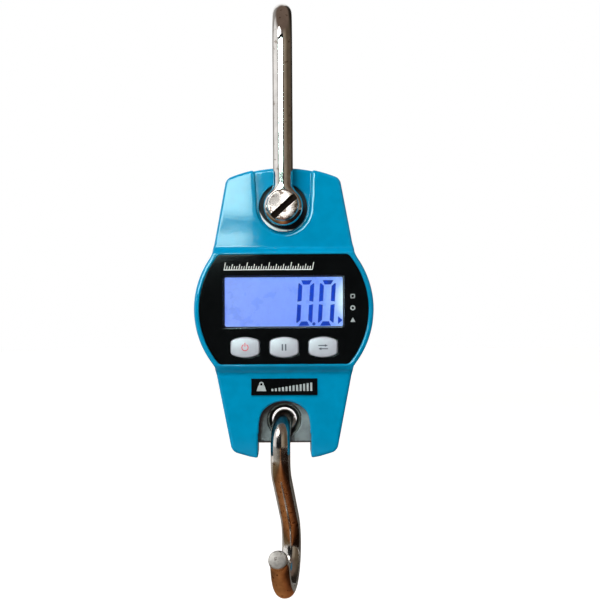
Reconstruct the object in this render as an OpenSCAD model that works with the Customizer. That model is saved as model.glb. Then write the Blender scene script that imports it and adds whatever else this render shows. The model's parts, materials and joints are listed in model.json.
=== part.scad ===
// Hanging crane scale: shackle, swinging display case with a load cell, S-hook.
// Millimetres. +Z up, the display faces -Y, +X to the right of a reader.
// Origin: the seat inside the top of the shackle's bow, on the centreline.

/* [Shackle and hook] */
// Diameter of the round rod
rod_d = 8; // [7.6:0.1:8]
// Radius of the bow, to the middle of the rod
bow_r = 16; // [15.9:0.1:16.5]
// Distance from the seat down to the bolt's axis
shackle_h = 75.9; // [75:0.1:77]
// Lean of each leg, in degrees
leg_tilt = 3.45; // [3.4:0.05:3.5]
// Turn of the hook about the vertical at rest, in degrees
hook_yaw = 8.9; // [0:0.1:9]
// Radius of the hook's bowl, to the middle of the rod
bowl_r = 16; // [14:0.5:16]

/* [Case] */
// Radius of the round middle of the case
bulge_r = 35.9; // [35.5:0.1:36.5]
// Height of the crest over the display's centre
crest_h = 57.3; // [56.5:0.1:57.5]
// Wall thickness
wall = 2; // [1.8:0.1:2.2]
// Depth from the parting line to the front rim
rim_y = 16; // [16:0.1:17]
// Depth from the parting line to the upper and lower faces
face_y = 13; // [12.8:0.1:13.2]
// Depth from the parting line to the back
back_y = 19.3; // [19.3:0.1:20]

/* [Panel] */
// Radius of the black panel
panel_r = 34; // [33.6:0.1:34]
// Width of the display window
window_w = 48.6; // [46:0.2:49]
// Height of the display window
window_h = 21; // [19:0.2:21]
// Distance between the buttons
button_pitch = 15.6; // [15:0.1:16]
// Travel of a button
button_travel = 0.5; // [0.3:0.1:0.6]

/* [Hidden] */
$fn = 96;
rod_r = rod_d / 2;
bolt_r = 4;
run = 0.05;
bow_z = -(bow_r - rod_r);
bolt_z = -shackle_h;
eye_r = 7.9;
eye_t = rod_d + 0.4;
eye_y = bow_r / cos(leg_tilt) - (shackle_h + bow_z) * tan(leg_tilt);
leg_end = (shackle_h + bow_z) / cos(leg_tilt) - bow_r * tan(leg_tilt) - 5.2;
head_t = 3;
head_r = 6.8;

// The display's centre; the case is drawn about it.
eye_h = 41.3;
mid_z = bolt_z - eye_h;
band_h = 24.6;
cut_h = 22;
seam = 0.4;
crest_r = 57.2;
front_in = face_y - wall;
shelf_y = rim_y - 1.8;
lens_t = 1.2;
floor_y = 7.6;
floor_t = 1.5;
win_h = 3;
button_h = -15.2;
button_w = 11.5;
button_l = 8.2;
barrel_r = 12;
button_y = rim_y + 0.6;
bx = [-button_pitch, 0, button_pitch];

// The load cell.
cell_y = 5.5;
tongue_y = 4.5;
cell_w = 30;
tongue_w = 22.8;
tongue_end = -54.5;
hole_h = -45.2;
bush_r = 6.8;
bush_in = 5;
bush_flat = 2.2;
bush_mouth = 6.2;
gauge_h = [14, -10];

// Electronics.
lcd_y = shelf_y - wall + 0.2;
board_y = 8.6;
board_t = 1.6;
board_holes = [[-25.5, -16.5], [25.5, -16.5], [-14, 19.3], [14, 19.3]];
case_holes = [[-17, 47], [17, 47], [-17, -48], [17, -48]];
cell_holes = [[-11, 25.6], [11, 25.6]];

// Batteries.
aaa_r = 5.25;
aaa_l = 44.5;
aaa_pitch = 11;
aaa_y = 12.05;
tray_x = 25.4;
tray_z = 17.4;
tray_y = 5.9;
cover_y = back_y - 1.4;
cover_x = 26.6;
cover_z = 19.2;
ear_x = 31;
ear_z = 4.5;
cover_hole_x = 28.8;

// The hook, in its own plane about the display's centre.
loop_r = 11;
loop_h = -56;
loop_low = loop_h - 5;
bowl_c = [1.5, loop_low - 38];
span = [bowl_c[0], bowl_c[1] - loop_low];
lean = atan2(span[1], span[0]);
cross = acos((loop_r + bowl_r) / norm(span));
leave = lean - cross;
shank = sqrt(span[0] * span[0] + span[1] * span[1] - pow(loop_r + bowl_r, 2));
tip_a = -160;
flare_r = 7;

// ---- helpers ----

// Lays a flat outline in the XZ plane, from depth y0 to y1.
module slab(y0, y1) {
    translate([0, y1, 0]) rotate([90, 0, 0]) linear_extrude(height = y1 - y0) children();
}

// A pin along Y at (x, z).
module pin(p, y0, y1, r) {
    translate([p[0], y1, p[1]]) rotate([90, 0, 0]) cylinder(h = y1 - y0, r = r);
}

// A cone along Y at (x, z), of radius r0 at y0 and r1 at y1.
module cone(p, y0, y1, r0, r1) {
    translate([p[0], y1, p[1]]) rotate([90, 0, 0]) cylinder(h = y1 - y0, r1 = r1, r2 = r0);
}

module box(x0, x1, y0, y1, z0, z1) {
    translate([x0, y0, z0]) cube([x1 - x0, y1 - y0, z1 - z0]);
}

module at_mid() {
    translate([0, 0, mid_z]) children();
}

// Turns the XY plane into the YZ plane.
module side() {
    rotate([90, 0, 90]) children();
}

module arc(c, r, a0, a1, t = rod_r) {
    translate([c[0], c[1], 0]) rotate([0, 0, min(a0, a1)])
        rotate_extrude(angle = abs(a1 - a0)) translate([r, 0]) circle(r = t);
}

// A straight rod from p, heading a degrees, of length l. It is a hair thinner than the bends
// and runs a little way into them, or e past its ends.
module rod(p, a, l, t = rod_r - 0.02, e = 0.1) {
    translate([p[0], p[1], 0]) rotate([0, 0, a])
        translate([-e, 0, 0]) rotate([0, 90, 0]) cylinder(h = l + 2 * e, r = t);
}

function on(c, r, a) = [c[0] + r * cos(a), c[1] + r * sin(a)];

// ---- outlines of the case, in X and Z about the display's centre ----

module outline(i) {
    intersection() {
        circle(r = bulge_r - i);
        translate([-50, -22.6]) square([100, 45.2]);
    }
    intersection() {
        polygon([[-28.5 + i, 22.5], [28.5 - i, 22.5], [21.5 - i, 60], [-21.5 + i, 60]]);
        translate([0, crest_h - crest_r]) circle(r = crest_r - i);
    }
    polygon([
        [-27.9 + i, -22.5], [-21.2 + i, -57.2 + i], [-11.7, -60 + i],
        [11.7, -60 + i], [21.2 - i, -57.2 + i], [27.9 - i, -22.5]
    ]);
}

module recess(e) {
    translate([0, eye_h]) circle(r = 10.8 + e);
    polygon([[-10.7 - e, eye_h], [10.7 + e, eye_h], [11.6 + e, 58], [-11.6 - e, 58]]);
}

module notch(e) {
    intersection() {
        translate([-10.7 - e, -60]) square([21.4 + 2 * e, 30]);
        translate([0, -48.6]) circle(r = 11.6 + e);
    }
    translate([-10.7 - e, -70]) square([21.4 + 2 * e, 20]);
}

// The hollow inside the walls.
module hollow() {
    difference() {
        outline(wall);
        recess(wall);
        notch(wall);
    }
}

module band() {
    intersection() {
        outline(0);
        translate([-50, -band_h]) square([100, 2 * band_h]);
    }
}

module middle(i) {
    intersection() {
        circle(r = bulge_r - i);
        translate([-50, -band_h + i]) square([100, 2 * (band_h - i)]);
    }
}

module panel(i) {
    intersection() {
        circle(r = panel_r - i);
        translate([-50, -cut_h + i]) square([100, 2 * (cut_h - i)]);
    }
}

// Room for the ends of the load cell.
module cell_room() {
    translate([0, eye_h]) circle(r = 12.4);
    translate([-8.5, 24]) square([17, 17]);
    translate([-tongue_w / 2 - 0.4, tongue_end - 0.5]) square([tongue_w + 0.8, -20 - tongue_end + 0.5]);
}

// A button: straight sides, curved top and bottom.
module barrel(i) {
    intersection() {
        square([button_w - 2 * i, 20], center = true);
        translate([0, button_l / 2 - barrel_r]) circle(r = barrel_r - i);
        translate([0, barrel_r - button_l / 2]) circle(r = barrel_r - i);
    }
}

module window(i) {
    translate([-window_w / 2 + i, win_h - window_h / 2 + i])
        square([window_w - 2 * i, window_h - 2 * i]);
}

// ---- shackle ----

module shackle() color("silver") {
    difference() {
        union() {
            side() arc([0, bow_z], bow_r, -leg_tilt, 180 + leg_tilt);
            for (s = [-1, 1])
                mirror([0, s < 0 ? 1 : 0, 0])
                    side() rod(on([0, bow_z], bow_r, -leg_tilt), -90 - leg_tilt, leg_end);
            for (s = [-1, 1]) pin([0, bolt_z], s * eye_y - eye_t / 2, s * eye_y + eye_t / 2, eye_r);
        }
        pin([0, bolt_z], -30, 30, bolt_r + run);
    }
}

module shackle_bolt() color("silver") {
    y0 = eye_y + eye_t / 2;
    difference() {
        union() {
            pin([0, bolt_z], -y0, y0 + 0.8, bolt_r);
            pin([0, bolt_z], -y0 - head_t + 0.8, -y0, head_r);
            cone([0, bolt_z], -y0 - head_t, -y0 - head_t + 0.8, head_r - 0.9, head_r);
        }
        translate([0, 0, bolt_z]) rotate([0, -42, 0])
            box(-10, 10, -y0 - head_t - 1, -y0 - head_t + 1.4, -1, 1);
    }
}

module eye_spacers() color("gray")
    for (s = [-1, 1]) difference() {
        pin([0, bolt_z], min(s * (cell_y + 0.2), s * (eye_y - eye_t / 2)),
            max(s * (cell_y + 0.2), s * (eye_y - eye_t / 2)), 7);
        pin([0, bolt_z], -30, 30, bolt_r + run);
    }

// ---- case ----

module front_case() color("#0080af") at_mid() {
    difference() {
        union() {
            difference() {
                union() {
                    slab(-face_y, -seam) outline(0);
                    slab(-rim_y, -seam) band();
                }
                slab(-front_in, 1) hollow();
                slab(-shelf_y + wall - 0.2, 1) middle(wall);
            }
            for (p = case_holes) pin(p, -front_in - 0.5, -seam, 3.2);
            for (p = cell_holes) pin(p, -front_in - 0.5, -cell_y, 3);
            for (p = board_holes) pin(p, -shelf_y + wall - 0.7, -board_y, 2);
        }
        slab(-rim_y - 1, -shelf_y) panel(0);
        slab(-rim_y - 1, -lcd_y + 1) window(0.6);
        for (x = bx) slab(-rim_y - 1, -lcd_y + 3) translate([x, button_h]) barrel(-0.35);
        slab(-rim_y - 1, -floor_y) recess(0);
        slab(-floor_y + floor_t, 1) cell_room();
        pin([0, eye_h], -20, 1, 9.8);
        slab(-20, 1) notch(0);
        for (p = case_holes) pin(p, -9.5, 1, 1.5);
        for (p = cell_holes) pin(p, -9.5, 1, 1.5);
        for (p = board_holes) pin(p, -shelf_y + 1, -board_y + 1, 0.8);
    }
}

module rear_case() color("#0080af") at_mid() {
    difference() {
        union() {
            difference() {
                union() {
                    slab(seam, face_y) outline(0);
                    slab(seam, back_y) band();
                }
                slab(-1, front_in) hollow();
                slab(-1, back_y - 2.4) middle(wall);
            }
            for (p = case_holes) pin(p, seam, front_in + 0.5, 3.2);
            for (s = [-1, 1]) pin([s * cover_hole_x, 0], 10, back_y - 2, 2.4);
        }
        slab(floor_y, 30) recess(0);
        slab(-1, floor_y - floor_t) cell_room();
        pin([0, eye_h], -1, 20, 9.8);
        slab(-1, 20) notch(0);
        box(-24.6, 24.6, 10, 30, -16.8, 16.8);
        slab(cover_y, 30) cover_outline(-0.25);
        for (p = case_holes) pin(p, -1, 20, 1.65);
        for (p = case_holes) pin(p, face_y - 2.2, 20, 2.7);
        for (s = [-1, 1]) pin([s * cover_hole_x, 0], 11, 30, 0.95);
    }
}

module case_gasket() color("#202428") at_mid()
    slab(-seam, seam) difference() {
        outline(0.4);
        hollow();
        cell_room();
        notch(0);
        translate([0, eye_h]) circle(r = 9.8);
        for (p = case_holes) translate(p) circle(r = 3.4);
    }

module case_screws() color("silver") at_mid()
    for (p = case_holes) difference() {
        union() {
            pin(p, -9, face_y - 2.2, 1.45);
            pin(p, face_y - 2.2, face_y - 0.4, 2.5);
        }
        for (a = [0, 90])
            translate([p[0], 0, p[1]]) rotate([0, a, 0])
                box(-1.6, 1.6, face_y - 1.3, face_y + 1, -0.35, 0.35);
    }

module panel_overlay() color("#101214") at_mid()
    slab(-shelf_y - lens_t, -shelf_y) difference() {
        panel(0.1);
        window(-0.05);
        for (x = bx) translate([x, button_h]) barrel(-0.35);
    }

module display_window() color("lightblue") at_mid()
    slab(-shelf_y - lens_t, -shelf_y) window(0);

module capacity_plate() color("#101214") at_mid()
    box(-13.3, 13.3, -face_y - 0.5, -face_y, -34.5, -27.8);

// ---- display and board ----

module lcd_frame() color("#303438") at_mid()
    difference() {
        box(-27, 27, -lcd_y, -board_y, win_h - 13.1, win_h + 14);
        box(-25, 25, -lcd_y - 1, -board_y + 1, win_h - 12.5, win_h + 12.5);
    }

module lcd_glass() color("#8296fa") at_mid()
    box(-24.9, 24.9, -lcd_y, -lcd_y + 1.1, win_h - 12.4, win_h + 12.4);

module lcd_backlight() color("white") at_mid()
    box(-24.9, 24.9, -lcd_y + 1.1, -board_y - 0.4, win_h - 9.4, win_h + 12.4);

module zebra_strip() color("pink") at_mid()
    box(-22, 22, -lcd_y + 1.1, -board_y, win_h - 12.2, win_h - 10.2);

module main_board() color("#1d6b3a") at_mid()
    slab(-board_y, -board_y + board_t) difference() {
        intersection() {
            circle(r = 32.6);
            translate([-50, -21.5]) square([100, 43]);
        }
        for (p = board_holes) translate(p) circle(r = 1.1);
    }

module controller_chip() color("#181818") at_mid()
    box(-13, -4, -board_y + board_t, -board_y + board_t + 0.9, -6, 3);

module switch_bodies() color("#202020") at_mid()
    for (x = bx) difference() {
        box(x - 3, x + 3, -board_y - 2.2, -board_y, button_h - 3, button_h + 3);
        pin([x, button_h], -board_y - 4, -board_y - 0.7, 1.75);
    }

module board_screws() color("silver") at_mid()
    for (p = board_holes) {
        pin(p, -shelf_y + 1.4, -board_y + board_t, 0.75);
        pin(p, -board_y + board_t, -board_y + board_t + 0.9, 1.6);
    }

// ---- load cell ----

module load_cell() color("#6e7072") at_mid()
    difference() {
        union() {
            pin([0, eye_h], -cell_y, cell_y, 12);
            box(-8, 8, -cell_y, cell_y, 26, eye_h);
            box(-cell_w / 2, cell_w / 2, -cell_y, cell_y, -22, 28.6);
            box(-tongue_w / 2, tongue_w / 2, -cell_y, cell_y, -33.5, -22);
            box(-tongue_w / 2, tongue_w / 2, -tongue_y, tongue_y, tongue_end, -33);
        }
        pin([0, eye_h], -10, 10, bolt_r + run);
        pin([0, hole_h], -10, 10, bush_r + run);
        for (h = gauge_h) pin([0, h], -10, 10, 5.5);
        box(-1.5, 1.5, -10, 10, gauge_h[1], gauge_h[0]);
        for (p = cell_holes) pin(p, -10, 10, 1.5);
    }

module cell_screws() color("silver") at_mid()
    for (p = cell_holes) {
        pin(p, -9, cell_y, 1.45);
        pin(p, cell_y, cell_y + 1.8, 2.6);
    }

module strain_gauges() color("#c08a30") at_mid()
    for (h = gauge_h) for (s = [-1, 1])
        translate([s * (cell_w / 2 + 0.1), 0, h]) cube([0.2, 5, 6], center = true);

module gauge_coating() color("#e8e8e0") at_mid()
    for (h = gauge_h) for (s = [-1, 1])
        translate([s * (cell_w / 2 + 0.8), 0, h]) cube([1.2, 8, 9], center = true);

module sensor_lead() color("white") at_mid() {
    x0 = cell_w / 2 + 1.4;
    translate([x0, 0, gauge_h[1]]) rotate([0, 90, 0]) cylinder(h = 3.6, r = 0.9);
    pin([x0 + 2.8, gauge_h[1]], -board_y + board_t, 0.4, 0.8);
}

// ---- batteries ----

module battery_tray() color("#181a1c") at_mid()
    difference() {
        box(-tray_x, tray_x, tray_y, back_y - 2.4, -tray_z, tray_z);
        box(-24.2, 24.2, aaa_y - aaa_r - 0.1, 30, -16.6, 16.6);
    }

module battery(k) {
    z = (k - 1) * aaa_pitch;
    translate([0, aaa_y, z]) mirror([k == 1 ? 1 : 0, 0, 0]) {
        translate([-20.7, 0, 0]) rotate([0, 90, 0]) cylinder(h = aaa_l - 0.8, r = aaa_r);
        translate([23, 0, 0]) rotate([0, 90, 0]) cylinder(h = 0.8, r = 1.9);
    }
}

module battery_1() color("#3b6ea5") at_mid() battery(0);
module battery_2() color("#3b6ea5") at_mid() battery(1);
module battery_3() color("#3b6ea5") at_mid() battery(2);

// Each spring is a stack of three turns on its end plate's side.
module battery_springs() color("silver") at_mid()
    for (k = [0, 1, 2]) translate([0, aaa_y, (k - 1) * aaa_pitch])
        mirror([k == 1 ? 1 : 0, 0, 0]) translate([-23.8, 0, 0]) rotate([0, 90, 0])
            difference() {
                cylinder(h = 3.1, r1 = 3.6, r2 = 2.4);
                translate([0, 0, -1]) cylinder(h = 6, r = 1.8);
            }

module battery_plates() color("silver") at_mid()
    for (k = [0, 1, 2]) for (s = [-1, 1])
        translate([s * 24, aaa_y, (k - 1) * aaa_pitch]) cube([0.4, 9, 9], center = true);

module battery_leads() color("#b02020") at_mid()
    for (s = [-1, 1]) pin([s * 20.5, -6], -board_y + board_t, tray_y, 0.7);

module cover_outline(i) {
    translate([-cover_x + i, -cover_z + i]) square([2 * (cover_x - i), 2 * (cover_z - i)]);
    translate([-ear_x + i, -ear_z + i]) square([2 * (ear_x - i), 2 * (ear_z - i)]);
}

module battery_cover() color("#0080af") at_mid()
    difference() {
        slab(cover_y, back_y - 0.1) cover_outline(0);
        for (s = [-1, 1]) pin([s * cover_hole_x, 0], 0, 30, 1.05);
        for (s = [-1, 1]) pin([s * cover_hole_x, 0], back_y - 0.9, 30, 1.9);
    }

module cover_screws() color("silver") at_mid()
    for (s = [-1, 1]) {
        pin([s * cover_hole_x, 0], 12, back_y - 0.9, 0.9);
        difference() {
            pin([s * cover_hole_x, 0], back_y - 0.9, back_y - 0.2, 1.7);
            box(s * cover_hole_x - 2, s * cover_hole_x + 2, back_y - 0.5, back_y, -0.25, 0.25);
        }
    }

// ---- hook ----

module hook_bush() color("#c9a24a") at_mid()
    difference() {
        pin([0, hole_h], -tongue_y, tongue_y, bush_r);
        pin([0, hole_h], -10, 10, bush_in);
        for (k = [0, 1]) mirror([0, k, 0])
            cone([0, hole_h], bush_flat, tongue_y, bush_in, bush_mouth);
    }

module lower_hook() color("silver") at_mid() rotate([0, 0, -hook_yaw]) side() {
    start = on([0, loop_low], loop_r, leave);
    lip = on(bowl_c, bowl_r, tip_a);
    flare_c = on(lip, flare_r, tip_a);
    tip = on(flare_c, flare_r, tip_a + 180 + 45);
    arc([0, loop_h], loop_r, 5, 180);
    rod([-loop_r, loop_h], -90, 5);
    arc([0, loop_low], loop_r, -180, leave);
    rod(start, leave + 90, shank);
    arc(bowl_c, bowl_r, tip_a, leave + 180);
    arc(flare_c, flare_r, tip_a + 179, tip_a + 226, rod_r - 0.02);
    rod(tip, tip_a + 315, 2.2, rod_r, 0);
}

// ---- buttons ----

// A flange behind the wall keeps each button in.
module button(k) {
    flange = button_w / 2 + 0.8;
    slab(-button_y, -lcd_y + 0.7) translate([bx[k], button_h]) barrel(0);
    box(bx[k] - flange, bx[k] + flange, -lcd_y + 0.1, -lcd_y + 0.7, button_h - 2.5, button_h + 2.5);
}

module plunger(k) {
    pin([bx[k], button_h], -lcd_y + 0.7, -board_y - 0.7 - button_travel - 0.3, 1.7);
}

module power_button() color("#c8c8d2") at_mid() button(0);
module hold_button() color("#c8c8d2") at_mid() button(1);
module unit_button() color("#c8c8d2") at_mid() button(2);
module power_plunger() color("#303030") at_mid() plunger(0);
module hold_plunger() color("#303030") at_mid() plunger(1);
module unit_plunger() color("#303030") at_mid() plunger(2);

shackle();
shackle_bolt();
eye_spacers();
front_case();
rear_case();
case_gasket();
case_screws();
panel_overlay();
display_window();
lcd_glass();
lcd_backlight();
lcd_frame();
zebra_strip();
main_board();
controller_chip();
switch_bodies();
board_screws();
load_cell();
strain_gauges();
gauge_coating();
sensor_lead();
cell_screws();
capacity_plate();
battery_tray();
battery_1();
battery_2();
battery_3();
battery_springs();
battery_plates();
battery_leads();
hook_bush();
lower_hook();
power_button();
hold_button();
unit_button();
power_plunger();
hold_plunger();
unit_plunger();
battery_cover();
cover_screws();
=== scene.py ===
"""Looks of a hanging crane scale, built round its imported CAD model.

Lengths are in millimetres in the shaping code, and turn into metres when a mesh is made.
Shapes are drawn about the display's centre: x to the right, y to the back, z up.
"""

import json
import math

import bmesh
import bpy
import numpy as np
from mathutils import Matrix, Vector


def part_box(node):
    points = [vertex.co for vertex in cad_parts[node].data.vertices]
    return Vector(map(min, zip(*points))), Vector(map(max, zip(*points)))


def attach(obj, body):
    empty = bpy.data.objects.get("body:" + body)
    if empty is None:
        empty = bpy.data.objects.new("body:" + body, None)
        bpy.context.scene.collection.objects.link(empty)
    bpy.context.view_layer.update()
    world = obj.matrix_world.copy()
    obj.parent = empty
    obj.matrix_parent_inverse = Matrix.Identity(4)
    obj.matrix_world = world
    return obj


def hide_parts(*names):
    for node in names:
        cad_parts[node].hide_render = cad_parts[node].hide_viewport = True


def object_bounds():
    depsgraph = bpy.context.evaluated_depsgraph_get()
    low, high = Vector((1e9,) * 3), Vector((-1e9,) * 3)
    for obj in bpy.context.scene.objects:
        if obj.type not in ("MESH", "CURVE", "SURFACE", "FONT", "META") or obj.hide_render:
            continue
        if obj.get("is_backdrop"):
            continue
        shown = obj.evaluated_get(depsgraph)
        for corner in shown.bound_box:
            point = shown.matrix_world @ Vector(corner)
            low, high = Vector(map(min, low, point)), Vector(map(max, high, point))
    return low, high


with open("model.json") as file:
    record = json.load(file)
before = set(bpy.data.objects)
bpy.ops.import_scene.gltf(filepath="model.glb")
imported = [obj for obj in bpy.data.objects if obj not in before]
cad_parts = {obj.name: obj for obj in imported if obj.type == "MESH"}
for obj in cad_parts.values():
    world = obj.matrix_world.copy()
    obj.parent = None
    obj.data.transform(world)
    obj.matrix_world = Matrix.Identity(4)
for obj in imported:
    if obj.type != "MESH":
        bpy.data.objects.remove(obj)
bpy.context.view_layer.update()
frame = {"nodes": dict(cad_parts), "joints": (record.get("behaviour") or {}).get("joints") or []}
NODES = frame["nodes"]


def cad(node):
    """Lowest and highest corner of a CAD node, in millimetres."""
    return [1000 * np.array(c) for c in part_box(node)]


def centre(node):
    lo, hi = cad(node)
    return (lo + hi) / 2


def joint(name):
    return next(j for j in frame["joints"] if j["name"] == name)


# ---- measures read from the CAD model ----

MID_Z = centre("panel_overlay")[2]
BOLT_H = centre("shackle_bolt")[2] - MID_Z
SEAT_H = -MID_Z
PANEL_FRONT = -cad("panel_overlay")[0][1]
SHELF = -cad("panel_overlay")[1][1]
RIM = -cad("front_case")[0][1]
BACK = cad("rear_case")[1][1]
SEAM = cad("case_gasket")[1][1]
CREST = cad("front_case")[1][2] - MID_Z
FOOT = cad("front_case")[0][2] - MID_Z
BULGE_R = cad("front_case")[1][0] + 0.1
WINDOW_LO, WINDOW_HI = cad("display_window")
BUTTONS = ["power_button", "hold_button", "unit_button"]
BUTTON_H = centre("hold_button")[2] - MID_Z
BUTTON_FRONT = -cad("hold_button")[0][1]
HOLE_H = centre("hook_bush")[2] - MID_Z
LOOP_H = 1000 * joint("hook_swing")["pos_m"][2] - MID_Z
HOOK_AXIS = np.array(joint("hook_swing")["axis"])

# ---- measures that no box in the frame gives ----

FACE = 13.0
WALL = 2.0
ROD_R = 4.0
BOLT_R = 4.0
BELLY_H = 22.6
CREST_R = 57.2
LOW_CORNER = (21.2, -57.2)
PANEL_R, PANEL_H = 34.0, 22.0
NOTCH_W = 10.7
KEY_W, KEY_END_R, KEY_END_DROP = 5.75, 12.0, 7.9
EYE_R, EYE_HALF = 7.9, 4.2
LEG_END = 5.2
TONGUE_W = 11.4


# ---- signed distance shapes (negative inside) ----


def both(a, b, r=0.0):
    """Intersection, with its edge rounded to radius r."""
    if r <= 0:
        return np.maximum(a, b)
    outside = np.sqrt(np.maximum(a + r, 0) ** 2 + np.maximum(b + r, 0) ** 2)
    return np.minimum(np.maximum(a + r, b + r), 0) + outside - r


def either(a, b, r=0.0):
    """Union, with its inner corner filled to radius r."""
    return -both(-a, -b, r)


def cut(a, b, r=0.0):
    """a with b taken away, the new edge rounded to radius r."""
    return both(a, -b, r)


def disc(u, v, c, r):
    return np.hypot(u - c[0], v - c[1]) - r


def span(v, lo, hi):
    return np.maximum(lo - v, v - hi)


def edge(u, v, p, q):
    """Distance past the line from p to q, positive on its left."""
    du, dv = q[0] - p[0], q[1] - p[1]
    return (du * (v - p[1]) - dv * (u - p[0])) / math.hypot(du, dv)


def segment(u, v, p, q):
    """Distance to a line segment in a plane."""
    du, dv = q[0] - p[0], q[1] - p[1]
    t = np.clip(((u - p[0]) * du + (v - p[1]) * dv) / (du * du + dv * dv), 0, 1)
    return np.hypot(u - p[0] - t * du, v - p[1] - t * dv)


# ---- from a signed distance to a mesh ----


def grid_cells(values, axes):
    """One vertex in each cell that the surface crosses, and a quad across each crossed grid edge."""
    inside = values < 0
    shape = tuple(n - 1 for n in values.shape)
    total, count = np.zeros(shape + (3,), np.float32), np.zeros(shape, np.int16)

    def part(a, offset):
        return a[tuple(slice(o, o + n) for o, n in zip(offset, shape))]

    for axis in range(3):
        others = [k for k in range(3) if k != axis]
        for i in (0, 1):
            for j in (0, 1):
                low = [0, 0, 0]
                low[others[0]], low[others[1]] = i, j
                high = list(low)
                high[axis] = 1
                a, b = part(values, low), part(values, high)
                crossed = part(inside, low) != part(inside, high)
                t = np.where(crossed, a / np.where(a == b, 1, a - b), 0)
                for k in range(3):
                    at = t if k == axis else low[k]
                    total[..., k] += np.where(crossed, at, 0)
                count += crossed
    used = count > 0
    index = np.full(shape, -1, np.int64)
    index[used] = np.arange(used.sum())
    local = total[used] / count[used][:, None]
    cell = np.argwhere(used)
    steps = np.array([ax[1] - ax[0] for ax in axes])
    points = np.array([ax[0] for ax in axes]) + (cell + local) * steps
    quads = []
    for axis in range(3):
        u, v = [k for k in range(3) if k != axis]
        cropped = [slice(1, -1)] * 3
        cropped[axis] = slice(None, -1)
        ahead = list(cropped)
        ahead[axis] = slice(1, None)
        here, there = inside[tuple(cropped)], inside[tuple(ahead)]
        crossed = here != there
        at = np.argwhere(crossed)
        at[:, u] += 1
        at[:, v] += 1
        corners = []
        for du, dv in ((1, 1), (0, 1), (0, 0), (1, 0)):
            c = at.copy()
            c[:, u] -= du
            c[:, v] -= dv
            corners.append(index[c[:, 0], c[:, 1], c[:, 2]])
        q = np.stack(corners, 1)
        flip = here[crossed] != (axis == 1)
        q[~flip] = q[~flip][:, ::-1]
        quads.append(q)
    return points, np.concatenate(quads)


def gradient(shape, p, h=0.02):
    g = np.zeros_like(p)
    for k in range(3):
        d = np.zeros(3)
        d[k] = h
        a, b = p + d, p - d
        g[:, k] = shape(a[:, 0], a[:, 1], a[:, 2]) - shape(b[:, 0], b[:, 1], b[:, 2])
    return g / (2 * h)


def shaped(name, shape, lo, hi, step):
    """A smooth mesh of a signed distance, its vertices drawn on to the surface."""
    axes = [np.arange(a - 1.5 * step, b + 2.5 * step, step) for a, b in zip(lo, hi)]
    values = shape(axes[0][:, None, None], axes[1][None, :, None], axes[2][None, None, :])
    values = np.broadcast_to(values, tuple(len(a) for a in axes)).astype(np.float32)
    points, quads = grid_cells(values, axes)
    for _ in range(4):
        g = gradient(shape, points)
        d = shape(points[:, 0], points[:, 1], points[:, 2])
        push = d / np.maximum((g * g).sum(1), 0.25)
        points = points - g * np.clip(push, -0.6 * step, 0.6 * step)[:, None]
    g = gradient(shape, points, 0.04)
    normals = g / np.maximum(np.linalg.norm(g, axis=1), 1e-9)[:, None]
    obj = mesh_object(name, points, quads.tolist())
    obj.data.normals_split_custom_set_from_vertices(normals.tolist())
    return obj


def mesh_object(name, points, faces):
    """A smooth-shaded object from points in millimetres about the display's centre."""
    mesh = bpy.data.meshes.new(name)
    moved = (np.asarray(points) + np.array([0, 0, MID_Z])) * 0.001
    mesh.from_pydata(moved.tolist(), [], faces)
    mesh.polygons.foreach_set("use_smooth", [True] * len(mesh.polygons))
    mesh.update()
    return placed(name, mesh)


def placed(name, data):
    """A new object in the scene."""
    obj = bpy.data.objects.new(name, data)
    bpy.context.scene.collection.objects.link(obj)
    return obj


def bands(rings, around, closed=False):
    """Quads between neighbouring rings of points. A closed row joins its last ring to its first."""
    faces = []
    for i in range(rings if closed else rings - 1):
        k = (i + 1) % rings
        for j in range(around):
            m = (j + 1) % around
            faces.append((i * around + j, i * around + m, k * around + m, k * around + j))
    return faces


def swept(name, centres, sides, ups, radii, around=56):
    """A tube of the given centre line. sides and ups are the directions across it at each centre."""
    a = np.linspace(0, 2 * math.pi, around, endpoint=False)
    ring = np.cos(a)[None, :, None] * sides[:, None] + np.sin(a)[None, :, None] * ups[:, None]
    points = (centres[:, None] + ring * radii[:, None, None]).reshape(-1, 3)
    n = len(centres)
    caps = [tuple(range(around))[::-1], tuple((n - 1) * around + j for j in range(around))]
    return mesh_object(name, points, bands(n, around) + caps)


def rounded_ends(centres, tangents, r, edge_r, steps=7):
    """Centres, tangents and radii of a rod whose two ends have a rounded edge."""
    a = np.linspace(0, math.pi / 2, steps)
    inset = edge_r * (1 - np.sin(a))[:, None]
    small = r - edge_r + edge_r * np.cos(a)
    start = (centres[0] + tangents[0] * inset)[::-1]
    end = centres[-1] - tangents[-1] * inset
    far = np.minimum(
        np.linalg.norm(centres - centres[0], axis=1), np.linalg.norm(centres - centres[-1], axis=1)
    )
    middle = far > edge_r + 0.2
    c = np.concatenate([start, centres[middle], end])
    first, last = (np.tile(tangents[k], (steps, 1)) for k in (0, -1))
    t = np.concatenate([first, tangents[middle], last])
    return c, t, np.concatenate([small[::-1], np.full(middle.sum(), r), small])


def turned(name, profile, at, around=96):
    """A piece turned about an axis along y through at = (x, z), from a closed loop of (radius, y)."""
    points = [(u, y, v) for r, y in profile for u, v in round_spot(at, r, around)]
    obj = mesh_object(name, points, bands(len(profile), around, closed=True))
    sharpen(obj, 40)
    return obj


def sharpen(obj, degrees):
    """Keeps edges steeper than this crisp in a smooth-shaded mesh."""
    mesh = obj.data
    bm = bmesh.new()
    bm.from_mesh(mesh)
    bmesh.ops.recalc_face_normals(bm, faces=bm.faces)
    limit = math.radians(degrees)
    for e in bm.edges:
        e.smooth = not (e.is_manifold and e.calc_face_angle(0) > limit)
    bm.to_mesh(mesh)
    bm.free()


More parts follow.
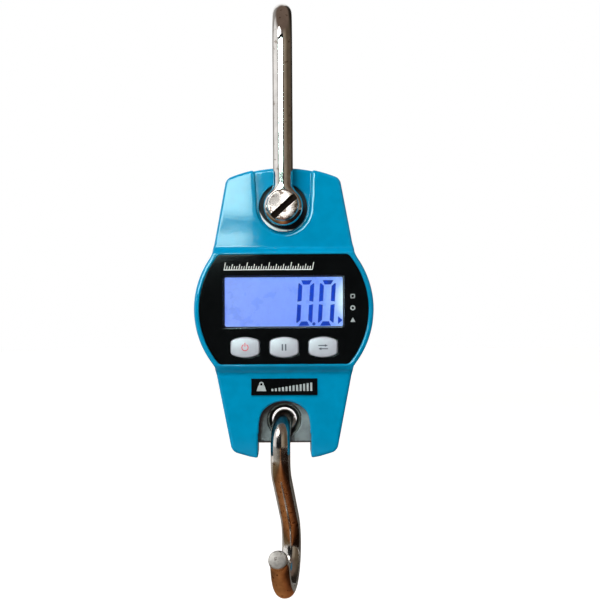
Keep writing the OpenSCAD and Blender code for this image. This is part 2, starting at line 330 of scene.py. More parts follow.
def bevelled(node, width):
    """Rounds the edges of a shown CAD node with modifiers."""
    obj = NODES[node]
    weld = obj.modifiers.new("weld", "WELD")
    weld.merge_threshold = 1e-6
    bevel = obj.modifiers.new("bevel", "BEVEL")
    bevel.width, bevel.segments = width * 0.001, 3
    bevel.limit_method, bevel.angle_limit = "ANGLE", math.radians(35)
    bevel.harden_normals = True
    bevel.use_clamp_overlap = True


def plate(name, outlines, front, back):
    """Thin printed or cut shapes: each outline is a closed list of (x, z) points."""
    points, faces = [], []
    for outline in outlines:
        n, k = len(points), len(outline)
        points += [(x, front, z) for x, z in outline] + [(x, back, z) for x, z in outline]
        faces.append(tuple(range(n, n + k)))
        faces.append(tuple(range(n + 2 * k - 1, n + k - 1, -1)))
        for i in range(k):
            j = (i + 1) % k
            faces.append((n + i, n + k + i, n + k + j, n + j))
    obj = mesh_object(name, points, faces)
    sharpen(obj, 20)
    return obj


# ---- outlines of the case ----


def half_outline(x, z):
    """The case seen from the front."""
    ax = np.abs(x)
    belly = both(np.hypot(x, z) - BULGE_R, np.abs(z) - BELLY_H, 0.4)
    top_side = edge(ax, z, (23.0, 52.0), (28.5, BELLY_H))
    crest = np.hypot(x, z - (CREST - CREST_R)) - CREST_R
    top = both(both(top_side, crest, 1.6), 20.0 - z)
    low_side = edge(ax, z, (27.9, -BELLY_H), LOW_CORNER)
    low_edge = edge(ax, z, LOW_CORNER, (11.7, FOOT))
    low = both(both(both(low_side, low_edge, 2.0), FOOT - z, 1.0), z + 20.0)
    return either(belly, either(top, low), 0.8)


def recess_outline(x, z, grow=0.0):
    """The channel that the shackle's eye lies in, open at the crest."""
    above = np.abs(x) - 10.75 - np.maximum(z - BOLT_H, 0) * 0.055
    bowl = np.hypot(x, z - BOLT_H) - 10.8
    return either(bowl, both(above, BOLT_H - z)) - grow


def notch_outline(x, z, grow=0.0):
    """The gap at the foot where the load cell's tongue shows."""
    arch = both(np.abs(x) - NOTCH_W, np.hypot(x, z + 48.6) - 11.6, 2.5)
    below = both(np.abs(x) - NOTCH_W, z + 50.0)
    return either(both(arch, -53.0 - z), below) - grow


def panel_outline(x, z):
    return both(np.hypot(x, z) - PANEL_R, np.abs(z) - PANEL_H, 0.9)


def barrel_outline(x, z, at, grow=0.0):
    """A key: straight sides, curved top and bottom."""
    u, v = x - at, z - BUTTON_H
    low, high = disc(u, v, (0, -KEY_END_DROP), KEY_END_R), disc(u, v, (0, KEY_END_DROP), KEY_END_R)
    return both(both(low, high, 0.5), np.abs(u) - KEY_W, 0.8) - grow


def window_outline(x, z, inset=0.0):
    lo, hi = WINDOW_LO, WINDOW_HI
    h = (lo[2] + hi[2]) / 2 - MID_Z
    half_w, half_h = (hi[0] - lo[0]) / 2, (hi[2] - lo[2]) / 2
    return both(np.abs(x) - half_w, np.abs(z - h) - half_h, 1.2) + inset


def cell_room(x, z):
    """Space inside the case for the ends of the load cell."""
    head = np.hypot(x, z - BOLT_H) - 12.4
    neck = both(np.abs(x) - 8.5, span(z, 24.0, BOLT_H))
    tongue = both(np.abs(x) - 11.8, span(z, -55.0, -20.0))
    return either(head, either(neck, tongue))


CASE_SCREWS = [(s * 17.0, h) for s in (-1, 1) for h in (47.0, -48.0)]
CELL_SCREWS = [(s * 11.0, 25.6) for s in (-1, 1)]
COVER_SCREWS = [(s * 28.8, 0.0) for s in (-1, 1)]


def pins(x, z, places, r):
    d = disc(x, z, places[0], r)
    for p in places[1:]:
        d = either(d, disc(x, z, p, r))
    return d


def ridge(z, depth, rim):
    """The sloping shoulders above and below the round belly."""
    return edge(np.abs(z), depth, (22.9, rim), (24.6, FACE))


def shell(x, z, depth, rim, skin):
    """What both halves share: a hollow casting, its recess, notch and screw posts."""
    outline = half_outline(x, z)
    body = both(outline, depth - FACE, 1.3)
    belly = both(both(outline, depth - rim, 1.3), ridge(z, depth, rim), 0.7)
    solid = either(body, belly, 0.7)
    walls = both(-recess_outline(x, z, WALL), -notch_outline(x, z, WALL))
    hollow = both(both(outline + WALL, walls), depth - FACE + WALL)
    inner_belly = both(np.hypot(x, z) - BULGE_R + WALL, np.abs(z) - BELLY_H)
    hollow = either(hollow, both(inner_belly, depth - rim + skin))
    solid = cut(solid, hollow)
    posts = both(pins(x, z, CASE_SCREWS, 3.2), depth - FACE + WALL - 0.5)
    solid = either(solid, posts)
    solid = cut(solid, both(recess_outline(x, z), 7.6 - depth, 0.05), 1.3)
    solid = cut(solid, both(cell_room(x, z), depth - 6.1))
    solid = cut(solid, disc(x, z, (0, BOLT_H), 9.8), 0.5)
    solid = cut(solid, notch_outline(x, z), 0.9)
    return both(solid, SEAM - depth)


def front_shape(x, y, z):
    depth = -y
    solid = shell(x, z, depth, RIM, 3.6)
    solid = either(solid, both(pins(x, z, CELL_SCREWS, 3.0), span(depth, 5.5, 11.5)))
    solid = cut(solid, both(panel_outline(x, z), SHELF - depth), 0.45)
    solid = cut(solid, both(window_outline(x, z, 0.6), 11.0 - depth))
    for b in BUTTONS:
        solid = cut(solid, both(barrel_outline(x, z, centre(b)[0], 0.35), 10.0 - depth))
    return cut(solid, both(pins(x, z, CASE_SCREWS + CELL_SCREWS, 1.5), depth - 9.5))


def cover_outline(x, z, grow=0.0):
    main = both(np.abs(x) - 26.6, np.abs(z) - 19.2, 1.5)
    ears = both(np.abs(x) - 31.0, np.abs(z) - 4.5, 1.5)
    return either(main, ears, 1.2) - grow


def rear_shape(x, y, z):
    depth = y
    solid = shell(x, z, depth, BACK, 2.4)
    posts = both(pins(x, z, COVER_SCREWS, 2.4), span(depth, 10.0, BACK - 2.0))
    solid = either(solid, posts)
    bay = both(np.abs(x) - 24.6, np.abs(z) - 16.8, 1.0)
    solid = cut(solid, both(bay, 10.0 - depth), 0.3)
    solid = cut(solid, both(cover_outline(x, z, 0.25), BACK - 1.4 - depth), 0.4)
    solid = cut(solid, pins(x, z, CASE_SCREWS, 1.65))
    solid = cut(solid, both(pins(x, z, CASE_SCREWS, 2.7), FACE - 2.2 - depth), 0.4)
    return cut(solid, both(pins(x, z, COVER_SCREWS, 0.95), 11.0 - depth))


def cover_shape(x, y, z):
    solid = both(cover_outline(x, z), span(y, BACK - 1.4, BACK - 0.1), 0.3)
    thumb = both(both(np.abs(x) - 7.0, np.abs(z) - 2.2, 2.0), BACK - 0.7 - y, 0.3)
    solid = cut(solid, thumb, 0.25)
    solid = cut(solid, pins(x, z, COVER_SCREWS, 1.05))
    return cut(solid, both(pins(x, z, COVER_SCREWS, 1.9), BACK - 0.9 - y), 0.2)


# ---- steel parts ----

BOW_R = 16.0
BOW_H = SEAT_H - (BOW_R - ROD_R)
EYE_Y = cad("eye_spacers")[1][1] + EYE_HALF
LEG_TILT = math.radians(3.65)


def shackle_shape(x, y, z):
    """A bent rod whose legs swell into two flat eyes."""
    ay = np.abs(y)
    slope = math.tan(LEG_TILT)
    foot = (EYE_Y + LEG_END * slope, BOLT_H + LEG_END)
    start = (BOW_R * math.cos(LEG_TILT), BOW_H - BOW_R * math.sin(LEG_TILT))
    bow = np.hypot(np.hypot(ay, z - BOW_H) - BOW_R, x) - ROD_R
    leg = np.hypot(segment(ay, z, start, foot), x) - ROD_R
    rod = np.where(z > BOW_H - ay * slope, bow, leg)
    eye = both(np.hypot(x, z - BOLT_H) - EYE_R, np.abs(ay - EYE_Y) - EYE_HALF, 2.0)
    solid = either(rod, eye, 1.8)
    lean = EYE_Y + np.maximum(z - BOLT_H, 0) * slope
    solid = both(solid, np.where(z < start[1], np.abs(ay - lean) - 4.21, -1.0))
    return cut(solid, np.hypot(x, z - BOLT_H) - BOLT_R - 0.05, 0.4)


def bolt_shape(x, y, z):
    """A slotted screw: domed head, plain shank."""
    lo, hi = cad("shackle_bolt")[0][1], cad("shackle_bolt")[1][1]
    r = np.hypot(x + 0.2, z - BOLT_H - 0.35)
    dome = np.hypot(r, y - lo - 22.0) - 22.0
    head = both(both(r - 6.4, span(y, lo, lo + 3.0), 0.5), dome, 0.9)
    shank = both(np.hypot(x, z - BOLT_H) - BOLT_R, span(y, lo + 2.0, hi), 0.5)
    return cut(either(head, shank), both(slot_width(x, z), y - lo - 1.6, 0.3), 0.3)


def slot_width(x, z):
    """The driver slot across the bolt's head, rising to the right and cut a little off centre."""
    a = math.radians(42)
    return np.abs(-x * math.sin(a) + (z - BOLT_H) * math.cos(a) + 0.45) - 1.15


def cell_shape(x, y, z):
    """The load cell: a bending bar between the bolt and the hook."""
    ax = np.abs(x)
    r = np.hypot(x, z - BOLT_H)
    head = r - 12.0
    neck = both(ax - 8.0, span(z, 26.0, BOLT_H))
    bar = both(ax - 15.0, span(z, -22.0, 28.6), 1.0)
    stem = both(ax - TONGUE_W, span(z, -33.5, -21.0))
    outline = either(either(head, neck, 2.0), either(bar, stem, 1.5), 1.5)
    thick = both(outline, np.abs(y) - 5.5, 0.5)
    tongue = both(both(ax - TONGUE_W, -54.5 - z, 1.2), np.abs(y) - 4.5, 0.7)
    solid = either(thick, both(tongue, z + 32.0), 0.4)
    solid = cut(solid, r - BOLT_R - 0.05, 0.3)
    solid = cut(solid, np.hypot(x, z - HOLE_H) - 6.85, 0.25)
    eyes = either(disc(x, z, (0, 14.0), 5.5), disc(x, z, (0, -10.0), 5.5))
    slot = both(ax - 1.5, span(z, -10.0, 14.0))
    solid = cut(solid, either(eyes, slot), 0.3)
    return cut(solid, pins(x, z, CELL_SCREWS, 1.5))


def key_shape(at):
    """A moulded key with a crowned face and a flange behind the wall."""

    def shape(x, y, z):
        front = -BUTTON_FRONT
        crown = np.hypot(np.hypot((x - at) * 0.75, z - BUTTON_H), y - front - 26.0) - 26.0
        cap = both(both(barrel_outline(x, z, at), y + 11.7, 0), both(front - y, crown), 0.55)
        flange = both(np.abs(x - at) - 6.55, np.abs(z - BUTTON_H) - 2.5, 0.4)
        return either(cap, both(flange, span(y, -12.3, -11.7), 0.1))

    return shape


def hook_line(step=0.35):
    """Centre line of the hook in its own plane: (across, height, heading), free end to tip."""
    low = LOOP_H - 5.0
    loop_r, bowl_r, flare_r = 11.0, 16.0, 7.0
    bowl = np.array([1.5, low - 38.0])
    gap = bowl - np.array([0.0, low])
    slant = math.degrees(math.atan2(gap[1], gap[0]))
    leave = slant - math.degrees(math.acos((loop_r + bowl_r) / np.linalg.norm(gap)))
    tip_a = -160.0

    def bend(c, r, a0, a1):
        n = max(3, int(abs(math.radians(a1 - a0)) * r / step))
        a = np.radians(np.linspace(a0, a1, n))
        turn = math.copysign(90, a1 - a0)
        return [(c[0] + r * math.cos(t), c[1] + r * math.sin(t), math.degrees(t) + turn) for t in a]

    line = bend((0, LOOP_H), loop_r, 5, 180)
    line += bend((0, low), loop_r, 180, 360 + leave)
    line += bend(bowl, bowl_r, leave + 180, tip_a)
    outward = np.array([math.cos(math.radians(tip_a)), math.sin(math.radians(tip_a))])
    flare = bowl + bowl_r * outward + flare_r * outward
    line += bend(flare, flare_r, tip_a + 180, tip_a + 225)
    x, z, heading = line[-1]
    h = math.radians(heading)
    line += [(x + d * math.cos(h), z + d * math.sin(h), heading) for d in (0.8, 1.5, 2.2)]
    line = np.array(line)
    line[:, 2] = np.degrees(np.unwrap(np.radians(line[:, 2])))
    return evenly(line, step)


def evenly(line, step):
    """The same line with points at even spacing along it."""
    gaps = np.linalg.norm(np.diff(line[:, :2], axis=0), axis=1)
    line = line[np.concatenate([[True], gaps > 1e-6])]
    along = np.concatenate([[0], np.cumsum(np.linalg.norm(np.diff(line[:, :2], axis=0), axis=1))])
    at = np.linspace(0, along[-1], int(along[-1] / step) + 1)
    return np.stack([np.interp(at, along, line[:, k]) for k in range(line.shape[1])], 1)


def hook_mesh(name):
    line = hook_line()
    depth_way = np.array([-HOOK_AXIS[1], HOOK_AXIS[0], 0.0])
    up = np.array([0.0, 0.0, 1.0])
    h = np.radians(line[:, 2])
    centres = line[:, :1] * depth_way + line[:, 1:2] * up
    tangents = np.cos(h)[:, None] * depth_way + np.sin(h)[:, None] * up
    c, t, r = rounded_ends(centres, tangents, ROD_R, 0.7)
    sides = np.tile(HOOK_AXIS, (len(c), 1))
    obj = swept(name, c, sides, np.cross(t, sides), r)
    sharpen(obj, 40)
    return obj


def bush_mesh(name):
    """A ring whose bore opens to both sides for the hook's loop."""
    half = cad("hook_bush")[1][1]
    outer, mouth, flat, bore = 6.8, 6.2, 2.2, 5.0
    right = [(outer, half - 0.25), (outer - 0.25, half)]
    right += [(mouth + 0.1, half), (mouth - 0.05, half - 0.15)]
    curve = [
        (mouth - (mouth - bore) * (1 - (1 - t) ** 1.6), half - 0.15 - (half - flat - 0.15) * t)
        for t in np.linspace(0.1, 1, 10)
    ]
    profile = right + curve
    return turned(name, profile + [(r, -y) for r, y in reversed(profile)], (0, HOLE_H))


def coil_mesh(name):
    """Three coil springs that press the cells against their far contacts."""
    parts = []
    for i, cell in enumerate(("battery_1", "battery_2", "battery_3")):
        lo, hi = cad(cell)
        side = 1 if abs(hi[0]) < abs(lo[0]) else -1
        end = hi[0] if side > 0 else lo[0]
        mid = (lo + hi) / 2 - np.array([0, 0, MID_Z])
        t = np.linspace(0, 1, 130)
        a = 2 * math.pi * 3.5 * t
        r = 2.3 + 1.0 * t
        along = end + side * (0.35 + 2.4 * t)
        wire = np.stack([along, mid[1] + r * np.cos(a), mid[2] + r * np.sin(a)], 1)
        tangent = np.gradient(wire, axis=0)
        tangent /= np.linalg.norm(tangent, axis=1)[:, None]
        sides = np.cross(tangent, np.array([1.0, 0, 0]))
        sides /= np.linalg.norm(sides, axis=1)[:, None]
        ups, radii = np.cross(tangent, sides), np.full(len(t), 0.3)
        parts.append(swept(f"{name}_{i}", wire, sides, ups, radii, around=10))
    return joined(parts, name)


def joined(objs, name):
    """One object from several, each part kept as it is."""
    bm = bmesh.new()
    for o in objs:
        bm.from_mesh(o.data)
        bpy.data.objects.remove(o)
    mesh = bpy.data.meshes.new(name)
    bmesh.ops.recalc_face_normals(bm, faces=bm.faces)
    bm.to_mesh(mesh)
    bm.free()
    mesh.polygons.foreach_set("use_smooth", [True] * len(mesh.polygons))
    return placed(name, mesh)


# ---- printed marks ----


def rect(x0, z0, x1, z1):
    return [(x0, z0), (x1, z0), (x1, z1), (x0, z1)]


def arc_band(c, r0, r1, a0, a1, n=28):
    """A ring or part of one, as a closed strip."""
    a = np.radians(np.linspace(a0, a1, n))
    outer = [(c[0] + r1 * math.cos(t), c[1] + r1 * math.sin(t)) for t in a]
    inner = [(c[0] + r0 * math.cos(t), c[1] + r0 * math.sin(t)) for t in a[::-1]]
    return outer + inner


def round_spot(c, r, n=24):
    a = np.linspace(0, 2 * math.pi, n, endpoint=False)
    return [(c[0] + r * math.cos(t), c[1] + r * math.sin(t)) for t in a]


def frame_lines(x0, z0, x1, z1, w):
    level = [rect(x0, z0, x1, z0 + w), rect(x0, z1 - w, x1, z1)]
    return level + [rect(x0, z0, x0 + w, z1), rect(x1 - w, z0, x1, z1)]


def leaned(outlines, about, lean):
    return [[(x + (z - about) * lean, z) for x, z in o] for o in outlines]


def zero_digit(cx, z0, z1, w, t):
    """A seven-segment zero: six bars with mitred ends."""
    zm, half = (z0 + z1) / 2, w / 2
    bars = []
    for up, end in ((-1, z0), (1, z1)):
        deep = end - up * t * 1.05
        lo, hi = cx - half, cx + half
        bars.append([(lo + 1.0, end), (hi - 1.0, end), (hi - 1.95, deep), (lo + 1.95, deep)])
        for side in (-1, 1):
            outer, inner = cx + side * half, cx + side * (half - t)
            shoulder = (outer - side * 0.45, end - up * 1.2)
            bar = [(outer, zm + up * 0.5), (outer, end - up * 1.3), shoulder]
            bars.append(bar + [(inner, end - up * 2.3), (inner, zm + up * 0.8)])
    return bars


def display_marks():
    """Readout of zero with one decimal, and the pointer at the unit in use."""
    z0, z1 = -6.7, 11.6
    bars = zero_digit(8.65, z0, z1, 6.4, 1.65) + zero_digit(17.3, z0, z1, 6.4, 1.65)
    bars.append(round_spot((12.6, -6.0), 0.65))
    bars = leaned(bars, (z0 + z1) / 2, 0.062)
    bars.append([(21.75, -6.1), (23.6, -4.5), (21.75, -2.9)])
    return bars


def title_marks():
    """A graduated rule above the display."""
    marks = [rect(-24.0, 15.7, 11.6, 16.05)]
    for i in range(37):
        tall = 3.0 if i % 9 == 0 else (2.3 if i % 3 == 0 else 1.5)
        x = -24.0 + i * 0.98
        marks.append(rect(x, 16.0, x + 0.32, 15.8 + tall))
    return leaned(marks, 15.7, 0.2)


def unit_marks():
    """Three small markers beside the display."""
    x = 27.6
    square = frame_lines(x - 0.9, 4.2, x + 0.9, 6.0, 0.38)
    triangle = [(x - 1.0, -5.2), (x + 1.0, -5.2), (x, -3.4)]
    return square + [arc_band((x, 0.4), 0.55, 1.0, 0, 359), triangle]


def power_marks(x, z):
    """A broken ring with a bar: on and off."""
    return [arc_band((x, z), 1.05, 1.45, 115, 425), rect(x - 0.2, z + 0.3, x + 0.2, z + 1.9)]


def hold_marks(x, z):
    """Two upright bars: hold the reading."""
    return [rect(x - 0.95, z - 1.3, x - 0.35, z + 1.3), rect(x + 0.35, z - 1.3, x + 0.95, z + 1.3)]


def unit_change_marks(x, z):
    """Two opposed arrows: change the unit."""
    head = [(0.7, 0.1), (1.9, 0.65), (0.7, 1.2)]
    right = [(-1.9, 0.45), (0.7, 0.45)] + head + [(0.7, 0.85), (-1.9, 0.85)]
    left = [(-u, -v) for u, v in right]
    return [[(x + u, z + v) for u, v in shape] for shape in (right, left)]


def plate_marks():
    """A weight and a rising row of bars."""
    lo, hi = cad("capacity_plate")
    z0, z1 = lo[2] - MID_Z, hi[2] - MID_Z
    zc = (z0 + z1) / 2
    foot = zc - 1.7
    marks = [[(-11.2, foot), (-7.2, foot), (-8.0, zc + 0.6), (-10.4, zc + 0.6)]]
    marks.append(arc_band((-9.2, zc + 1.1), 0.5, 0.95, -40, 220))
    for i in range(12):
        tall = 0.9 + 0.22 * i
        x = -5.2 + i * 1.42
        marks.append(rect(x, foot, x + 0.8, foot + tall))
    return marks


# ---- materials ----


def node_tree(name):
    mat = bpy.data.materials.new(name)
    mat.use_nodes = True
    return mat, mat.node_tree, mat.node_tree.nodes["Principled BSDF"]


def noise(tree, scale, detail=3.0):
    """Noise in the object's own space: scale counts features per metre."""
    at = tree.nodes.new("ShaderNodeTexCoord")
    tex = tree.nodes.new("ShaderNodeTexNoise")
    tex.inputs["Scale"].default_value = scale
    tex.inputs["Detail"].default_value = detail
    tree.links.new(at.outputs["Object"], tex.inputs["Vector"])
    return tex.outputs["Fac"]


def ranged(tree, value, out_lo, out_hi, in_lo=0.35, in_hi=0.65):
    m = tree.nodes.new("ShaderNodeMapRange")
    m.inputs["From Min"].default_value, m.inputs["From Max"].default_value = in_lo, in_hi
    m.inputs["To Min"].default_value, m.inputs["To Max"].default_value = out_lo, out_hi
    tree.links.new(value, m.inputs["Value"])
    return m.outputs["Result"]


def mixed(tree, factor, a, b):
    m = tree.nodes.new("ShaderNodeMix")
    m.data_type = "RGBA"
    for socket, c in ((m.inputs[6], a), (m.inputs[7], b)):
        if isinstance(c, (tuple, list)):
            socket.default_value = (*c[:3], 1)
        else:
            tree.links.new(c, socket)
    tree.links.new(factor, m.inputs[0])
    return m.outputs[2]


def vector_math(tree, operation, a, b=None):
    """Vector arithmetic on a socket and a second socket or a fixed vector."""
    m = tree.nodes.new("ShaderNodeVectorMath")
    m.operation = operation
    tree.links.new(a, m.inputs[0])
    if isinstance(b, tuple):
        m.inputs[1].default_value = b
    elif b is not None:
        tree.links.new(b, m.inputs[1])
    return m.outputs["Value" if operation == "LENGTH" else "Vector"]


def distance_from(tree, place, rise=1.0):
    """Distance across the front from a place, in metres, its upward share scaled by rise."""
    at = tree.nodes.new("ShaderNodeTexCoord").outputs["Object"]
    away = vector_math(tree, "SUBTRACT", at, place)
    return vector_math(tree, "LENGTH", vector_math(tree, "MULTIPLY", away, (1, 0, rise)))


def coordinate(tree, axis, space="Object"):
    split = tree.nodes.new("ShaderNodeSeparateXYZ")
    tree.links.new(tree.nodes.new("ShaderNodeTexCoord").outputs[space], split.inputs[0])
    return split.outputs[axis]


def color_ramp(tree, value, stops, interpolation="LINEAR"):
    """The colour at a value from 0 to 1, between (place, colour) stops."""
    ramp = tree.nodes.new("ShaderNodeValToRGB")
    ramp.color_ramp.interpolation = interpolation
    elements = ramp.color_ramp.elements
    while len(elements) < len(stops):
        elements.new(0.5)
    for e, (place, color) in zip(elements, stops):
        e.position, e.color = place, (*color, 1)
    tree.links.new(value, ramp.inputs["Fac"])
    return ramp.outputs["Color"]


def bumped(tree, layers):
    """One normal from several (height, distance in metres) layers."""
    last = None
    for height, distance in layers:
        b = tree.nodes.new("ShaderNodeBump")
        b.inputs["Strength"].default_value = 1.0
        b.inputs["Distance"].default_value = distance
        tree.links.new(height, b.inputs["Height"])
        if last is not None:
            tree.links.new(last, b.inputs["Normal"])
        last = b.outputs["Normal"]
    return last


FINISHES = {}


def finish_of(
    name, color, rough, metal=0.0, vary=0.08, grain=300, rough_vary=0.05, bump=0.0, bump_scale=900,
    wave=0.0, wave_scale=60, coat=0.0, wear=None, spec=0.5,
):
    """Adds a procedural finish: colour and roughness drift, fine bump, slow wave and worn specks."""
    mat, tree, shader = node_tree(name)
    dark = [c * (1 - vary) for c in color]
    light = [min(1.0, c * (1 + vary)) for c in color]
    base = mixed(tree, ranged(tree, noise(tree, grain), 0, 1), dark, light)
    drift = noise(tree, grain * 0.31)
    roughness = ranged(tree, drift, rough - rough_vary, rough + rough_vary)
    if wear:
        worn_color, amount, worn_scale = wear
        mask = ranged(tree, noise(tree, worn_scale, 5.0), 0, 1, amount, amount + 0.04)
        base = mixed(tree, mask, base, worn_color)
    tree.links.new(base, shader.inputs["Base Color"])
    tree.links.new(roughness, shader.inputs["Roughness"])
    shader.inputs["Metallic"].default_value = metal
    shader.inputs["Specular IOR Level"].default_value = spec
    shader.inputs["Coat Weight"].default_value = coat
    shader.inputs["Coat Roughness"].default_value = 0.05
    shader.inputs["Coat IOR"].default_value = 1.4
    layers = []
    if wave:
        layers.append((noise(tree, wave_scale, 1.0), wave))
    if bump:
        layers.append((noise(tree, bump_scale, 2.0), bump))
    if layers:
        normal = bumped(tree, layers)
        tree.links.new(normal, shader.inputs["Normal"])
        if coat:
            tree.links.new(normal, shader.inputs["Coat Normal"])
    FINISHES[name] = mat
    return mat


def clear_window():
    mat, tree, shader = node_tree("clear_window")
    roughness = ranged(tree, noise(tree, 90), 0.0, 0.01)
    tree.links.new(roughness, shader.inputs["Roughness"])
    tree.links.new(bumped(tree, [(noise(tree, 30, 1.0), 0.000001)]), shader.inputs["Normal"])
    base = mixed(tree, noise(tree, 60), (0.96, 0.97, 1.0), (0.99, 0.99, 1.0))
    tree.links.new(base, shader.inputs["Base Color"])
    shader.inputs["Transmission Weight"].default_value = 1.0
    shader.inputs["IOR"].default_value = 1.3
    return mat


def bore_shade_and_crescent():
    """Painted shade: near-black metal round the bolt, where the deep hole lies in shadow, with a painted
    highlight in a bright crescent low on its left.
    """
    mat = finish_of(
        "bore_painted_shade", (0.012, 0.013, 0.016), 0.5, metal=0.2, vary=0.25, grain=500, bump=1e-5, spec=0.1,
    )
    tree = mat.node_tree
    base = tree.nodes["Principled BSDF"].inputs["Base Color"]
    # painted highlight: a bright crescent beyond 12 mm from a point above and right of the bolt, standing
    # for light caught low on the left
    far = distance_from(tree, (0.00154, 0, (BOLT_H + MID_Z + 3.03) * 0.001))
    painted_crescent = ranged(tree, far, 0, 1, 0.0119, 0.0123)
    tree.links.new(mixed(tree, painted_crescent, base.links[0].from_socket, (0.88, 0.82, 0.84)), base)


def lit_display():
    """The backlit glass: violet-blue, with the lamp's glow spreading from its right edge."""
    mat, tree, shader = node_tree("lit_display")
    lo, hi = (0.001 * c for c in (WINDOW_LO, WINDOW_HI))
    lamp = (hi[0] + 0.0015, 0, (lo[2] + hi[2]) / 2 + 0.0005)
    reach = 0.05
    stops = [
        (0.0, (0.90, 1.0, 1.0)), (0.0022 / reach, (0.72, 0.95, 1.0)), (0.0062 / reach, (0.26, 0.44, 0.97)),
        (0.012 / reach, (0.16, 0.30, 0.95)), (0.030 / reach, (0.145, 0.265, 0.94)),
        (1.0, (0.17, 0.28, 0.90)),
    ]
    spread = ranged(tree, distance_from(tree, lamp, 0.62), 0, 1, 0, reach)
    speck = tree.nodes.new("ShaderNodeMix")
    speck.data_type, speck.blend_type = "RGBA", "MULTIPLY"
    speck.inputs[0].default_value = 1.0
    tree.links.new(color_ramp(tree, spread, stops, "EASE"), speck.inputs[6])
    tree.links.new(ranged(tree, noise(tree, 700), 0.93, 1.03), speck.inputs[7])
    tree.links.new(speck.outputs[2], shader.inputs["Emission Color"])
    shader.inputs["Emission Strength"].default_value = 0.95
    shader.inputs["Base Color"].default_value = (0.02, 0.02, 0.05, 1)
    tree.links.new(ranged(tree, noise(tree, 200), 0.25, 0.4), shader.inputs["Roughness"])
    return mat


finish_of(
    "enamel", (0.0, 0.262, 0.485), 0.32, vary=0.05, grain=220, bump=7e-6, bump_scale=1200, wave=2e-5,
    wave_scale=70, coat=0.8, spec=0.0,
)
finish_of(
    "chrome", (0.74, 0.71, 0.68), 0.10, metal=1.0, vary=0.10, grain=260, bump=7e-6,
    bump_scale=700, wave=0.00022, wave_scale=45, wear=((0.42, 0.37, 0.33), 0.64, 500),
)
finish_of(
    "hook_chrome", (0.70, 0.67, 0.63), 0.17, metal=1.0, vary=0.14, grain=260, rough_vary=0.06,
    bump=1.2e-5, bump_scale=700, wave=0.00012, wave_scale=45, wear=((0.34, 0.28, 0.24), 0.62, 460),
)
finish_of(
    "bolt_steel", (0.74, 0.71, 0.67), 0.26, metal=1.0, vary=0.15, grain=400, bump=5e-5, bump_scale=420,
    wave=0.00025, wave_scale=130, wear=((0.24, 0.20, 0.17), 0.56, 620),
)
finish_of(
    "cut_steel", (0.50, 0.49, 0.46), 0.42, metal=0.9, vary=0.2, grain=420, rough_vary=0.1, bump=2e-5,
    bump_scale=1200, wear=((0.22, 0.20, 0.18), 0.6, 420),
)
finish_of(
    "cell_metal", (0.135, 0.124, 0.133), 0.45, metal=0.85, vary=0.18, grain=350, rough_vary=0.08,
    bump=3e-5, bump_scale=1400,
)
# painted shade for the load cell's head inside the bolt hole, with a painted highlight crescent
bore_shade_and_crescent()
# painted shade: near-black for the floor of the bolt's driver slot, where shade falls
finish_of("slot_painted_shade", (0.010, 0.007, 0.005), 0.8, vary=0.3, grain=700, bump=2e-5, spec=0.05)
finish_of("bush_metal", (0.16, 0.15, 0.145), 0.30, metal=1.0, vary=0.2, bump=1e-5)
finish_of("screw_zinc", (0.55, 0.55, 0.56), 0.3, metal=1.0, vary=0.12, grain=500, bump=1e-5)
finish_of("turned_steel", (0.34, 0.33, 0.32), 0.35, metal=1.0, vary=0.1, bump=1e-5)
finish_of(
    "gloss_black", (0.0032, 0.0038, 0.0042), 0.05, vary=0.15, grain=120, rough_vary=0.015, bump=1.5e-6,
    wave=1e-5, wave_scale=50, spec=0.3,
)
finish_of("key_plastic", (0.42, 0.44, 0.50), 0.42, vary=0.04, grain=400, bump=8e-6, bump_scale=1800)
finish_of("print_white", (0.62, 0.62, 0.60), 0.5, grain=900, bump=4e-6)
finish_of("print_grey", (0.32, 0.34, 0.35), 0.5, grain=900, bump=4e-6)
finish_of("print_dark", (0.055, 0.055, 0.085), 0.5, vary=0.1, grain=900, bump=4e-6)
finish_of("print_red", (0.62, 0.075, 0.11), 0.5, vary=0.1, grain=900, bump=4e-6)
finish_of("segment_blue", (0.008, 0.032, 0.33), 0.5, grain=600, bump=2e-6, spec=0.0)
finish_of("seal_rubber", (0.018, 0.022, 0.025), 0.65, vary=0.15, bump=1e-5)
finish_of("dark_plastic", (0.022, 0.023, 0.025), 0.5, vary=0.12, bump=1e-5, bump_scale=1600)
finish_of("grey_plastic", (0.10, 0.105, 0.11), 0.5, vary=0.1, bump=1e-5, bump_scale=1600)
finish_of("diffuser", (0.75, 0.78, 0.9), 0.4, vary=0.04)
finish_of("contact_rubber", (0.55, 0.30, 0.34), 0.6, vary=0.150)
finish_of("board_green", (0.012, 0.11, 0.04), 0.38, vary=0.12, grain=500, bump=2e-5, bump_scale=500)
finish_of("gauge_film", (0.55, 0.33, 0.08), 0.4, vary=0.12, grain=1500)
finish_of("silicone", (0.70, 0.70, 0.66), 0.45, vary=0.06, bump=6e-5, bump_scale=300)
finish_of("wire_white", (0.7, 0.7, 0.68), 0.5, vary=0.06)
finish_of("wire_red", (0.42, 0.02, 0.02), 0.45)
finish_of("cell_sleeve", (0.05, 0.12, 0.32), 0.3, grain=200, bump=6e-6, coat=0.3)
finish_of("nickel", (0.62, 0.60, 0.56), 0.22, metal=1.0, bump=6e-6)
FINISHES["clear_window"] = clear_window()
FINISHES["lit_display"] = lit_display()


def painted(obj, finish):
    obj.data.materials.clear()
    obj.data.materials.append(FINISHES[finish])
    return obj


